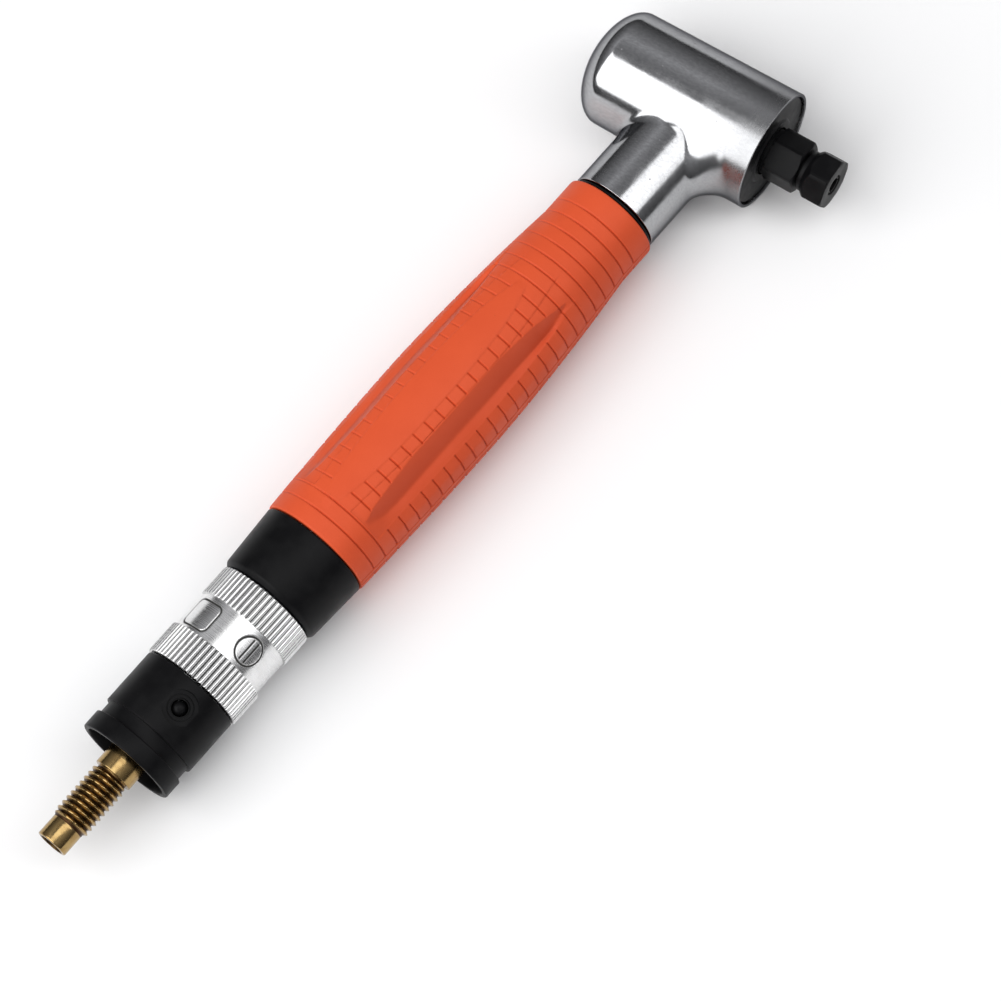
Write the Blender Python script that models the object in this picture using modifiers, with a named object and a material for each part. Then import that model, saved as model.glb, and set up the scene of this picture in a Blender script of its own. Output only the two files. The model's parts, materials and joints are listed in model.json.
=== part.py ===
"""Pneumatic angle grinder with a 3 mm collet, lying on its side.

The handle's axis runs along +X, with the air inlet at the low end and the
angle head at the high end. The collet points towards -Y, a little forward,
and both axes are level. The origin is the middle of the footprint.

Stations are millimetres along an axis. A handle station is counted from the
inlet's tip, and a head station from the point where the two axes cross,
positive towards the collet. An azimuth is in degrees round the axis from
straight up: towards -Y on the handle, and towards the inlet on the head.
"""
import math

import bmesh
import bpy
from mathutils import Matrix, Vector

MM = 0.001
UP = Vector((0, 0, 1))
OUTER_SIDES = 32
INNER_SIDES = 18

# Driving dimensions, in millimetres and degrees.
HEAD_ANGLE = 83.0
CROSSING = 195.75
GAP = 0.3
FIT = 0.15

TIP_RADIUS = 3.33
TIP_END = 4.2
THREAD_START = 4.8
THREAD_PITCH = 1.25
THREAD_TURNS = 10
THREAD_CREST = 4.0
THREAD_ROOT = 3.3
INLET_SHOULDER = 17.6
INLET_COLLAR_RADIUS = 4.2
INLET_BORE = 2.1
STUB_RADIUS = 3.4

SLEEVE_START = 21.2
SLEEVE_END = 40.1
SLEEVE_RADIUS = 10.5
SLEEVE_MOUTH = 9.2
WEB_START = 32.5
WEB_END = 38.6
SET_SCREW_STATION = 34.5
SET_SCREW_AZIMUTH = 24.6

RING_START = 40.4
RING_END = 62.3
RING_BORE = 8.15
VALVE_RADIUS = 8.0
CAM_AZIMUTH = 205.0
CAM_STATION = 52.0
CAM_TURN = 60.0
VALVE_STROKE = 1.5
CHAMBER_RADIUS = 3.4
CHAMBER_START = 44.3
CHAMBER_END = 60.5

COLLAR_START = 62.6
COLLAR_END = 76.6
COLLAR_SHOULDER = 66.0
GRIP_START = 76.9
GRIP_END = 166.8
GRIP_RADIUS = 12.8

HOUSING_START = 68.9
HOUSING_STEP = 134.0
HOUSING_REAR_RADIUS = 9.7
HOUSING_FRONT_RADIUS = 8.8
MOTOR_BORE = 8.2
LINER_START = 80.2
LINER_END = 118.4
LINER_RADIUS = 8.05
LINER_BORE = 6.3
LINER_OFFSET = 0.7
ROTOR_RADIUS = 5.45
SHAFT_RADIUS = 2.0
VANE_COUNT = 4
VANE_THICKNESS = 1.0

NECK_START = 167.85
NECK_RADIUS = 9.68
NECK_BORE = 6.05
HEAD_RIM = 16.4
HEAD_RIM_RADIUS = 12.8
DOME_START = -18.6
DOME_DEPTH = 6.7
DOME_RADIUS = 12.45
CAVITY_RADIUS = 9.65

PINION_TEETH = 12
GEAR_TEETH = 15
CONE_DISTANCE = 8.5
FACE_SHARE = 0.33
TOOTH_ADDENDUM = 0.5
TOOTH_DEDENDUM = 0.78
PINION_TOOTH_PHASE = 0.0
GEAR_TOOTH_PHASE = 6.0

SPINDLE_RADIUS = 3.0
HEX_ACROSS_FLATS = 10.0
HEX_START = 16.9
HEX_END = 23.9
HEX_AZIMUTH = 1.5
NUT_START = 24.3
NUT_END = 30.8
NUT_AZIMUTH = 25.5
NOSE_END = 29.0
COLLET_BORE = 1.5


# ---------------------------------------------------------------- placing

def axis_frame(direction, origin):
    """A frame with its Z along direction and its X straight up."""
    side = direction.cross(UP)
    turn = Matrix((UP, side, direction)).transposed().to_4x4()
    return Matrix.Translation(origin) @ turn


def footprint_offset():
    """Where the inlet's tip lies, so that the footprint is centred on the origin."""
    lean = math.radians(HEAD_ANGLE)
    along, across = math.cos(lean), math.sin(lean)
    front = CROSSING + HEAD_RIM * along + HEAD_RIM_RADIUS * across
    nut_corner = HEX_ACROSS_FLATS / 2 / math.cos(math.radians(30))
    collet_side = NUT_END * across + nut_corner * along
    dome_side = -DOME_START * across + math.hypot(DOME_DEPTH * across, DOME_RADIUS * along)
    height = max(GRIP_RADIUS, HEAD_RIM_RADIUS)
    return Vector((-front / 2, (collet_side - dome_side) / 2, height)) * MM


TAIL = footprint_offset()
HANDLE_AXIS = Vector((1, 0, 0))
HEAD_AXIS = Vector((math.cos(math.radians(HEAD_ANGLE)), -math.sin(math.radians(HEAD_ANGLE)), 0))
HANDLE = axis_frame(HANDLE_AXIS, TAIL)
HEAD = axis_frame(HEAD_AXIS, TAIL + HANDLE_AXIS * CROSSING * MM)


def polar(station, azimuth, radius):
    """A point in an axis frame, in millimetres."""
    turn = math.radians(azimuth)
    return Vector((radius * math.cos(turn), radius * math.sin(turn), station))


# ---------------------------------------------------------------- scene and materials

def clear_scene():
    for item in list(bpy.data.objects):
        bpy.data.objects.remove(item, do_unlink=True)


def new_collection(name):
    group = bpy.data.collections.new(name)
    bpy.context.scene.collection.children.link(group)
    return group


clear_scene()
PARTS = new_collection("pneumatic_angle_grinder")
CUTTERS = new_collection("cutters")


def material(name, colour, roughness, metallic):
    made = bpy.data.materials.new(name)
    made.use_nodes = True
    shader = made.node_tree.nodes["Principled BSDF"]
    shader.inputs["Base Color"].default_value = (*colour, 1.0)
    shader.inputs["Roughness"].default_value = roughness
    shader.inputs["Metallic"].default_value = metallic
    made.diffuse_color = (*colour, 1.0)
    return made


FINISHES = {
    "brass": ((0.55, 0.36, 0.12), 0.28, 1.0),
    "black_oxide": ((0.015, 0.015, 0.017), 0.42, 0.6),
    "aluminium": ((0.80, 0.80, 0.80), 0.30, 1.0),
    "polished": ((0.72, 0.73, 0.74), 0.10, 1.0),
    "rubber": ((0.78, 0.12, 0.035), 0.60, 0.0),
    "seal": ((0.03, 0.03, 0.03), 0.70, 0.0),
    "steel": ((0.56, 0.57, 0.58), 0.25, 1.0),
    "liner_iron": ((0.32, 0.32, 0.33), 0.45, 1.0),
    "vane_fibre": ((0.30, 0.16, 0.07), 0.75, 0.0),
    "bronze": ((0.48, 0.30, 0.14), 0.35, 1.0),
}


# ---------------------------------------------------------------- shapes

def add_object(name, mesh, frame, collection):
    made = bpy.data.objects.new(name, mesh)
    made.matrix_world = frame
    collection.objects.link(made)
    return made


def mesh_from(name, shape):
    mesh = bpy.data.meshes.new(name)
    shape.to_mesh(mesh)
    shape.free()
    return mesh


def turned(name, frame, outside, inside=(), segments=OUTER_SIDES, collection=None):
    """A turned shape. Both profiles are (station, radius), from low to high station.

    With no inside profile the shape is solid, and its profile closes on the axis.
    """
    outline = [(radius, station) for station, radius in reversed(outside)]
    if inside:
        outline += [(radius, station) for station, radius in inside]
    else:
        outline = [(0, outside[-1][0])] + outline + [(0, outside[0][0])]
    shape = bmesh.new()
    points = [shape.verts.new((radius * MM, 0, station * MM)) for radius, station in outline]
    for first, second in zip(points, points[1:]):
        shape.edges.new((first, second))
    if inside:
        shape.edges.new((points[-1], points[0]))
    made = add_object(name, mesh_from(name, shape), frame, collection or PARTS)
    screw = made.modifiers.new("turn", 'SCREW')
    screw.axis = 'Z'
    screw.steps = segments
    screw.render_steps = segments
    screw.use_merge_vertices = True
    screw.merge_threshold = 0.00001
    return made


def tube(name, frame, start, end, inner, outer, segments=INNER_SIDES):
    """A plain ring or sleeve."""
    return turned(name, frame, [(start, outer), (end, outer)], [(start, inner), (end, inner)], segments)


def rod_mesh(name, start, end, radius, segments=12):
    """A cylinder between two points of an axis frame, in millimetres."""
    run = end - start
    place = Matrix.Translation((start + end) / 2 * MM) @ run.to_track_quat('Z', 'Y').to_matrix().to_4x4()
    shape = bmesh.new()
    bmesh.ops.create_cone(shape, cap_ends=True, segments=segments, radius1=radius * MM,
                          radius2=radius * MM, depth=run.length * MM, matrix=place)
    return mesh_from(name, shape)


def rod(name, frame, start, end, radius, segments=12, collection=None):
    return add_object(name, rod_mesh(name, start, end, radius, segments), frame, collection or PARTS)


def hex_prism(name, frame, start, end, azimuth):
    """A hexagonal prism on an axis, with a corner at the azimuth."""
    corner = HEX_ACROSS_FLATS / 2 / math.cos(math.radians(30))
    place = Matrix.Translation((0, 0, (start + end) / 2 * MM))
    place = place @ Matrix.Rotation(math.radians(azimuth), 4, 'Z')
    shape = bmesh.new()
    bmesh.ops.create_cone(shape, cap_ends=True, segments=6, radius1=corner * MM,
                          radius2=corner * MM, depth=(end - start) * MM, matrix=place)
    # create_cone starts its ring on +Y, a quarter turn from the azimuth's zero.
    bmesh.ops.rotate(shape, verts=shape.verts, cent=(0, 0, 0),
                     matrix=Matrix.Rotation(math.radians(-90), 3, 'Z'))
    return add_object(name, mesh_from(name, shape), frame, CUTTERS)


def box(name, frame, low, high, azimuth=0.0):
    """A box in an axis frame, turned round the axis by the azimuth."""
    low, high = Vector(low), Vector(high)
    size = high - low
    shape = bmesh.new()
    bmesh.ops.create_cube(shape, size=1.0)
    bmesh.ops.scale(shape, vec=size * MM, verts=shape.verts)
    bmesh.ops.translate(shape, vec=(low + high) / 2 * MM, verts=shape.verts)
    bmesh.ops.rotate(shape, verts=shape.verts, cent=(0, 0, 0),
                     matrix=Matrix.Rotation(math.radians(azimuth), 3, 'Z'))
    return add_object(name, mesh_from(name, shape), frame, CUTTERS)


def boolean(target, tool, operation='DIFFERENCE'):
    """Cut, join or trim the target with the tool, which becomes a cutter."""
    modifier = target.modifiers.new(operation.lower(), 'BOOLEAN')
    modifier.operation = operation
    modifier.solver = 'EXACT'
    modifier.object = tool
    if CUTTERS not in tool.users_collection:
        PARTS.objects.unlink(tool)
        CUTTERS.objects.link(tool)
    tool.hide_render = True
    tool.display_type = 'WIRE'


def swept_slot(name, frame, azimuth, advance):
    """Cutter for a track in the ring's bore: a rectangle swept back through the cam's turn.

    It starts at the pin and moves along the axis by the advance, with room for the pin.
    """
    half, margin, steps = 0.95, 7.0, 7
    sweep = CAM_TURN + 2 * margin
    run_out = advance * margin / CAM_TURN
    low, high = CAM_STATION - half - run_out, CAM_STATION + half - run_out
    corners = [(7.0, low), (9.35, low), (9.35, high), (7.0, high)]
    shape = bmesh.new()
    points = [shape.verts.new(polar(station, azimuth + margin, radius) * MM) for radius, station in corners]
    face = shape.faces.new(points)
    shift = (0, 0, (advance + 2 * run_out) / steps * MM)
    bmesh.ops.spin(shape, geom=[face], cent=(0, 0, 0), axis=(0, 0, -1), dvec=shift,
                   angle=math.radians(sweep), steps=steps)
    bmesh.ops.holes_fill(shape, edges=shape.edges)
    bmesh.ops.recalc_face_normals(shape, faces=shape.faces)
    return add_object(name, mesh_from(name, shape), frame, CUTTERS)


def toothed_cone(name, frame, apex, outer, inner, root, tip, teeth, phase):
    """Straight bevel teeth: an outline at the outer station, drawn in towards the apex."""
    pitch = 360.0 / teeth
    corners = [(-0.27, root), (-0.13, tip), (0.13, tip), (0.27, root)]
    shape = bmesh.new()
    points = []
    for tooth in range(teeth):
        for share, radius in corners:
            place = polar(outer, phase + (tooth + share) * pitch, radius) * MM
            points.append(shape.verts.new(place))
    face = shape.faces.new(points)
    grown = bmesh.ops.extrude_face_region(shape, geom=[face])
    far = [item for item in grown["geom"] if isinstance(item, bmesh.types.BMVert)]
    shrink = (inner - apex) / (outer - apex)
    for point in far:
        point.co = Vector((point.co.x * shrink, point.co.y * shrink, inner * MM))
    bmesh.ops.recalc_face_normals(shape, faces=shape.faces)
    return add_object(name, mesh_from(name, shape), frame, CUTTERS)


# ---------------------------------------------------------------- inlet and exhaust

def make_inlet_spigot():
    """Brass tail piece: smooth nose, M8 thread as rings, collar and stub."""
    outside = [(0, 2.95), (0.4, TIP_RADIUS), (TIP_END, TIP_RADIUS)]
    for turn in range(THREAD_TURNS):
        start = THREAD_START + turn * THREAD_PITCH
        outside += [(start, THREAD_ROOT), (start + THREAD_PITCH / 2, THREAD_CREST)]
    outside += [(THREAD_START + THREAD_TURNS * THREAD_PITCH, THREAD_ROOT),
                (INLET_SHOULDER, THREAD_ROOT), (INLET_SHOULDER, INLET_COLLAR_RADIUS),
                (30.0, INLET_COLLAR_RADIUS), (30.0, STUB_RADIUS), (CHAMBER_START - GAP, STUB_RADIUS)]
    inside = [(0, 2.6), (0.6, INLET_BORE), (CHAMBER_START - GAP, INLET_BORE)]
    turned("inlet_spigot", HANDLE, outside, inside, 18)


def make_exhaust_sleeve():
    """Black sleeve with an open mouth, a ported web and a spot-faced screw hole."""
    outside = [(SLEEVE_START, 10.3), (21.4, SLEEVE_RADIUS), (25.06, SLEEVE_RADIUS), (25.06, 9.85),
               (27.95, 9.85), (27.95, SLEEVE_RADIUS), (39.9, SLEEVE_RADIUS), (SLEEVE_END, 10.3)]
    inside = [(SLEEVE_START, 9.5), (21.8, SLEEVE_MOUTH), (WEB_START, SLEEVE_MOUTH), (WEB_START, 5.3),
              (WEB_END, 5.3), (WEB_END, 9.3), (SLEEVE_END, 9.3)]
    sleeve = turned("exhaust_sleeve", HANDLE, outside, inside)
    for port in range(6):
        azimuth = SET_SCREW_AZIMUTH + 30 + 60 * port
        cutter = rod("exhaust_port", HANDLE, polar(WEB_START - 1, azimuth, 7.25),
                     polar(WEB_END + 1, azimuth, 7.25), 1.1, 6, CUTTERS)
        boolean(sleeve, cutter)
    for name, radius, floor in (("screw_hole", 1.65, 4.0), ("screw_spot_face", 2.4, 10.0)):
        cutter = rod(name, HANDLE, polar(SET_SCREW_STATION, SET_SCREW_AZIMUTH, floor),
                     polar(SET_SCREW_STATION, SET_SCREW_AZIMUTH, 12), radius, 12, CUTTERS)
        boolean(sleeve, cutter)


def make_set_screw():
    """Dome-headed grub screw that holds the sleeve on the valve body."""
    frame = HANDLE @ Matrix.Translation((0, 0, SET_SCREW_STATION * MM))
    frame = frame @ Matrix.Rotation(math.radians(SET_SCREW_AZIMUTH), 4, 'Z')
    frame = frame @ Matrix.Rotation(math.radians(90), 4, 'Y')
    turned("sleeve_set_screw", frame, [(5.2, 1.2), (5.5, 1.45), (9.3, 1.45), (9.75, 1.2), (10.05, 0.6)],
           segments=12)


# ---------------------------------------------------------------- throttle

def make_valve_body():
    """Core that carries the throttle ring, with a chamber, slot and exhaust ways."""
    groove = 6.85
    outside = [(33.0, 5.0), (40.3, 5.0), (40.3, VALVE_RADIUS)]
    for start in (43.0, 59.4):
        outside += [(start, VALVE_RADIUS), (start, groove)]
        outside += [(start + 1.6, groove), (start + 1.6, VALVE_RADIUS)]
    outside += [(COLLAR_SHOULDER + 0.2, VALVE_RADIUS), (COLLAR_SHOULDER + 0.2, 9.5), (68.6, 9.5)]
    inside = [(33.0, 3.7), (CHAMBER_START, 3.7), (CHAMBER_START, CHAMBER_RADIUS),
              (CHAMBER_END, CHAMBER_RADIUS), (CHAMBER_END, 1.4), (68.6, 1.4)]
    body = turned("valve_body", HANDLE, outside, inside, 24)
    for way in range(4):
        azimuth = CAM_AZIMUTH + 45 + 90 * way
        boolean(body, rod("exhaust_way", HANDLE, polar(39, azimuth, 5.9), polar(70, azimuth, 5.9),
                          0.7, 6, CUTTERS))
    slot = box("pin_slot", HANDLE, (3.0, -0.75, CAM_STATION - 0.8),
               (9.0, 0.75, CAM_STATION + VALVE_STROKE + 0.8), CAM_AZIMUTH)
    boolean(body, slot)
    boolean(body, rod("stop_pin_hole", HANDLE, polar(CAM_STATION, CAM_AZIMUTH + 180, 5.0),
                      polar(CAM_STATION, CAM_AZIMUTH + 180, 9.0), 0.75, 8, CUTTERS))


def make_throttle_ring():
    """Knurled ring with a helical cam track and a stop slot in its bore."""
    outside = [(RING_START, 10.65), (40.65, 10.9), (47.3, 10.9), (47.5, 10.7), (47.5, 10.2),
               (55.7, 10.2), (55.7, 10.45), (55.9, 10.65), (62.05, 10.65), (RING_END, 10.4)]
    inside = [(RING_START, RING_BORE), (RING_END, RING_BORE)]
    ring = turned("throttle_ring", HANDLE, outside, inside, 32)
    boolean(ring, swept_slot("cam_track", HANDLE, CAM_AZIMUTH, VALVE_STROKE))
    boolean(ring, swept_slot("stop_slot", HANDLE, CAM_AZIMUTH + 180, 0.0))


def make_valve_pieces():
    """Plunger, its cross pin, the stop pin, the seat seal and the ring's two seals."""
    plunger = turned("valve_plunger", HANDLE, [(45.5, 2.6), (47.4, 2.6), (47.4, 1.7), (53.9, 1.7),
                                               (53.9, 2.7), (54.5, 2.7), (54.5, 1.5), (58.0, 1.5)],
                     segments=16)
    boolean(plunger, rod("pin_hole", HANDLE, polar(CAM_STATION, CAM_AZIMUTH, -3),
                         polar(CAM_STATION, CAM_AZIMUTH, 3), 0.75, 8, CUTTERS))
    rod("plunger_pin", HANDLE, polar(CAM_STATION, CAM_AZIMUTH, -1.5),
        polar(CAM_STATION, CAM_AZIMUTH, 9.1), 0.6, 8)
    rod("stop_pin", HANDLE, polar(CAM_STATION, CAM_AZIMUTH + 180, 5.2),
        polar(CAM_STATION, CAM_AZIMUTH + 180, 9.1), 0.6, 8)
    tube("valve_seat_seal", HANDLE, 44.5, 45.3, 1.9, 3.2, 16)
    for name, middle in (("ring_seal_rear", 43.8), ("ring_seal_front", 60.2)):
        section = [math.radians(60 * corner) for corner in range(6)]
        upper = [(middle - 0.45 * math.cos(turn), 7.5 + 0.45 * math.sin(turn)) for turn in section[:4]]
        lower = [(middle - 0.45 * math.cos(turn), 7.5 - 0.45 * math.sin(turn)) for turn in section[1:3]]
        turned(name, HANDLE, upper, lower, 24)


def make_valve_spring():
    """Coil that closes the plunger, wound as a poly curve round the stem."""
    start, end, radius, wire = 54.95, 60.1, 2.3, 0.22
    turns, points_per_turn = 4.5, 8
    count = int(turns * points_per_turn) + 1
    path = bpy.data.curves.new("valve_spring", 'CURVE')
    path.dimensions = '3D'
    path.bevel_depth = wire * MM
    path.bevel_resolution = 1
    path.use_fill_caps = True
    spline = path.splines.new('POLY')
    spline.points.add(count - 1)
    for index, point in enumerate(spline.points):
        share = index / (count - 1)
        place = polar(start + (end - start) * share, 360 * turns * share, radius) * MM
        point.co = (*place, 1)
    curve = add_object("valve_spring_path", path, HANDLE, CUTTERS)
    bpy.context.view_layer.update()
    mesh = bpy.data.meshes.new_from_object(curve.evaluated_get(bpy.context.evaluated_depsgraph_get()))
    shape = bmesh.new()
    shape.from_mesh(mesh)
    bmesh.ops.remove_doubles(shape, verts=shape.verts, dist=0.000001)
    bpy.data.objects.remove(curve)
    bpy.data.meshes.remove(mesh)
    add_object("valve_spring", mesh_from("valve_spring", shape), HANDLE, PARTS)


# ---------------------------------------------------------------- handle shell

def make_rear_collar():
    """Black collar that clamps the valve body's flange to the motor housing."""
    outside = [(COLLAR_START, 10.3), (63.4, 11.05), (COLLAR_END, 11.7)]
    inside = [(COLLAR_START, 8.3), (COLLAR_SHOULDER, 8.3), (COLLAR_SHOULDER, 9.85), (COLLAR_END, 9.85)]
    turned("rear_collar", HANDLE, outside, inside)


def make_motor_housing():
    """Steel tube inside the grip, with the motor's bore and a nose for the neck."""
    outside = [(HOUSING_START, HOUSING_REAR_RADIUS), (HOUSING_STEP, HOUSING_REAR_RADIUS),
               (HOUSING_STEP, HOUSING_FRONT_RADIUS), (GRIP_END, HOUSING_FRONT_RADIUS),
               (GRIP_END, 7.7), (176.2, 7.7)]
    inside = [(HOUSING_START, MOTOR_BORE), (126.5, MOTOR_BORE), (126.5, 4.2), (160.0, 4.2),
              (160.0, 3.75), (176.2, 3.75)]
    turned("motor_housing", HANDLE, outside, inside, 24)


def grip_radius(station):
    """Outer radius of the barrel-shaped grip: a full belly that tapers to the head."""
    belly = 115.0
    if station < belly:
        share = (belly - station) / (belly - GRIP_START)
        return GRIP_RADIUS - 0.9 * share ** 1.7
    share = min((station - belly) / (158.5 - belly), 1.0)
    return GRIP_RADIUS - 2.45 * share ** 1.75


def make_grip():
    steps = 9
    stations = [GRIP_START + (GRIP_END - 0.5 - GRIP_START) * step / steps for step in range(steps + 1)]
    outside = [(station, grip_radius(station)) for station in stations] + [(GRIP_END, 10.0)]
    inside = [(GRIP_START, 9.9), (HOUSING_STEP + GAP, 9.9), (HOUSING_STEP + GAP, 9.0), (GRIP_END, 9.0)]
    turned("grip", HANDLE, outside, inside)


# ---------------------------------------------------------------- bearings

def make_bearing(name, frame, start, width, inner, outer, balls, segments=12):
    """Ball bearing: an inner race, an outer race, and a cage with its balls."""
    wall = (outer - inner) * 0.24
    tube(name + "_inner_race", frame, start, start + width, inner, inner + wall, segments)
    tube(name + "_outer_race", frame, start, start + width, outer - wall, outer, segments)
    pitch = (inner + outer) / 2
    ball = (outer - inner) / 2 - wall - 0.12
    middle = start + width / 2
    cage = tube(name + "_ball_cage", frame, middle - ball * 0.6, middle + ball * 0.6,
                pitch - ball * 0.35, pitch + ball * 0.35, segments)
    shape = bmesh.new()
    for index in range(balls):
        place = Matrix.Translation(polar(middle, 360 * index / balls, pitch) * MM)
        bmesh.ops.create_uvsphere(shape, u_segments=6, v_segments=4, radius=ball * MM, matrix=place)
    boolean(cage, add_object("balls", mesh_from("balls", shape), frame, CUTTERS), 'UNION')


# ---------------------------------------------------------------- vane motor

def make_motor():
    """Eccentric liner between two end plates, with a slotted rotor and its vanes."""
    port_azimuth = 90.0
    dowel_azimuth = 180.0
    gasket = tube("rear_gasket", HANDLE, 69.2, 70.0, 2.0, 7.9)
    boolean(gasket, rod("air_port", HANDLE, polar(68, port_azimuth, 6.0), polar(71, port_azimuth, 6.0),
                        0.9, 8, CUTTERS))
    turned("disc_spring", HANDLE, [(70.3, 7.6), (70.7, 7.9), (72.2, 5.1)],
           [(70.3, 7.5), (71.8, 4.9)], INNER_SIDES)

    rear = turned("rear_end_plate", HANDLE, [(72.6, LINER_RADIUS), (79.9, LINER_RADIUS)],
                  [(72.6, 4.65), (77.2, 4.65), (77.2, 2.4), (79.9, 2.4)], 24)
    boolean(rear, rod("air_port", HANDLE, polar(71, port_azimuth, 6.3), polar(81, port_azimuth, 6.3),
                      0.9, 8, CUTTERS))
    liner = turned("cylinder_liner", HANDLE, [(LINER_START, LINER_RADIUS), (LINER_END, LINER_RADIUS)],
                   segments=28)
    bore = rod("liner_bore", HANDLE, Vector((LINER_OFFSET, 0, LINER_START - 1)),
               Vector((LINER_OFFSET, 0, LINER_END + 1)), LINER_BORE, 28, CUTTERS)
    boolean(liner, bore)
    for station in (91.0, 99.3, 107.6):
        boolean(liner, rod("liner_port", HANDLE, polar(station, -port_azimuth, 4),
                           polar(station, -port_azimuth, 9), 1.2, 8, CUTTERS))
    for plate in (rear, liner):
        boolean(plate, rod("dowel_hole", HANDLE, polar(77.8, dowel_azimuth, 6.85),
                           polar(83.3, dowel_azimuth, 6.85), 0.65, 8, CUTTERS))
    rod("liner_dowel", HANDLE, polar(78.1, dowel_azimuth, 6.85), polar(83.0, dowel_azimuth, 6.85), 0.5, 8)
    turned("front_end_plate", HANDLE, [(118.7, LINER_RADIUS), (126.2, LINER_RADIUS)],
           [(118.7, 2.4), (121.3, 2.4), (121.3, 4.65), (126.2, 4.65)], 24)

    rotor = turned("rotor", HANDLE, [(73.0, SHAFT_RADIUS), (80.6, SHAFT_RADIUS), (80.6, ROTOR_RADIUS),
                                     (118.0, ROTOR_RADIUS), (118.0, SHAFT_RADIUS), (132.8, SHAFT_RADIUS)],
                   segments=24)
    half = VANE_THICKNESS / 2
    for index in range(VANE_COUNT):
        azimuth = 45 + 360 * index / VANE_COUNT
        boolean(rotor, box("vane_slot", HANDLE, (2.25, -half - FIT, 80), (7, half + FIT, 119), azimuth))
        vane = box("vane_%d" % (index + 1), HANDLE, (2.45, -half, 80.7), (5.35, half, 117.9), azimuth)
        CUTTERS.objects.unlink(vane)
        PARTS.objects.link(vane)
    make_bearing("motor_rear_bearing", HANDLE, 73.0, 4.0, 2.12, 4.5, 6)
    make_bearing("motor_front_bearing", HANDLE, 121.5, 4.0, 2.12, 4.5, 6)


# ---------------------------------------------------------------- drive to the head

def pitch_angle_of(teeth, other_teeth):
    """Pitch angle of one bevel gear of the pair, in radians."""
    shaft_angle = math.radians(HEAD_ANGLE)
    return math.atan2(math.sin(shaft_angle), other_teeth / teeth + math.cos(shaft_angle))


def bevel_sizes(pitch_angle):
    """Axial distance from the crossing and the root and tip radii, at the outer end."""
    distance = CONE_DISTANCE * math.cos(pitch_angle)
    tip = distance * math.tan(pitch_angle + math.atan(TOOTH_ADDENDUM / CONE_DISTANCE))
    root = distance * math.tan(pitch_angle - math.atan(TOOTH_DEDENDUM / CONE_DISTANCE))
    return distance, root, tip


def make_drive():
    """Coupling, pinion shaft with its bevel teeth, bush and front bearing."""
    tube("drive_coupling", HANDLE, 127.2, 140.0, 2.15, 3.4)
    distance, root, tip = bevel_sizes(pitch_angle_of(PINION_TEETH, GEAR_TEETH))
    outer = CROSSING - distance
    inner = CROSSING - distance * (1 - FACE_SHARE)
    shaft = turned("pinion_shaft", HANDLE, [(133.2, 1.7), (133.5, SHAFT_RADIUS), (181.3, SHAFT_RADIUS),
                                            (181.3, 3.2), (outer + 0.8, 3.2)], segments=INNER_SIDES)
    teeth = toothed_cone("pinion_teeth", HANDLE, CROSSING, outer, inner, root, tip,
                         PINION_TEETH, PINION_TOOTH_PHASE)
    boolean(shaft, teeth, 'UNION')
    tube("pinion_bush", HANDLE, 164.0, 172.0, 2.12, 3.6)
    make_bearing("pinion_bearing", HANDLE, 177.0, 4.0, 2.12, 5.9, 6)
    tube("pinion_snap_ring", HANDLE, 181.5, 182.3, 4.6, 5.9)
    tube("neck_ring", HANDLE, GRIP_END + GAP, NECK_START - GAP, 7.9, 9.6, OUTER_SIDES)


def make_head_housing():
    """Cast head: a domed barrel joined to the neck, bored for the gears and bearings."""
    steps = 5
    dome = []
    for step in range(1, steps + 1):
        turn = math.pi / 2 * step / steps
        dome.append((DOME_START - DOME_DEPTH * math.cos(turn), DOME_RADIUS * math.sin(turn)))
    pole = (DOME_START - DOME_DEPTH, 0.8)
    barrel = [pole] + dome + [(16.1, HEAD_RIM_RADIUS), (HEAD_RIM, 12.6)]
    head = turned("head_housing", HEAD, barrel, segments=36)
    neck = turned("neck", HANDLE, [(NECK_START, NECK_RADIUS), (180.5, NECK_RADIUS), (183.0, 9.95),
                                   (185.0, 10.7), (186.5, 11.9), (190.0, 11.9)])
    boolean(head, neck, 'UNION')
    cavity = turned("head_cavity", HEAD, [(-21.0, 4.0), (-19.3, 4.0), (-19.3, 6.65), (-8.5, 6.65),
                                          (-8.5, CAVITY_RADIUS), (14.4, CAVITY_RADIUS), (14.4, 12.1),
                                          (18.0, 12.1)], segments=28, collection=CUTTERS)
    boolean(head, cavity)
    bore = turned("neck_bore", HANDLE, [(167.0, 7.85), (176.4, 7.85), (176.4, NECK_BORE),
                                        (190.0, NECK_BORE)], segments=24, collection=CUTTERS)
    boolean(head, bore)


# ---------------------------------------------------------------- spindle and collet

def make_gear():
    distance, root, tip = bevel_sizes(pitch_angle_of(GEAR_TEETH, PINION_TEETH))
    outer = -distance
    inner = -distance * (1 - FACE_SHARE)
    gear = turned("bevel_gear", HEAD, [(-8.2, 4.6), (outer + 0.5, 4.6)], segments=INNER_SIDES)
    boolean(gear, toothed_cone("gear_teeth", HEAD, 0, outer, inner, root, tip, GEAR_TEETH,
                               GEAR_TOOTH_PHASE), 'UNION')
    boolean(gear, rod("gear_bore", HEAD, Vector((0, 0, -9)), Vector((0, 0, 0)), SPINDLE_RADIUS + FIT,
                      INNER_SIDES, CUTTERS))


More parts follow.
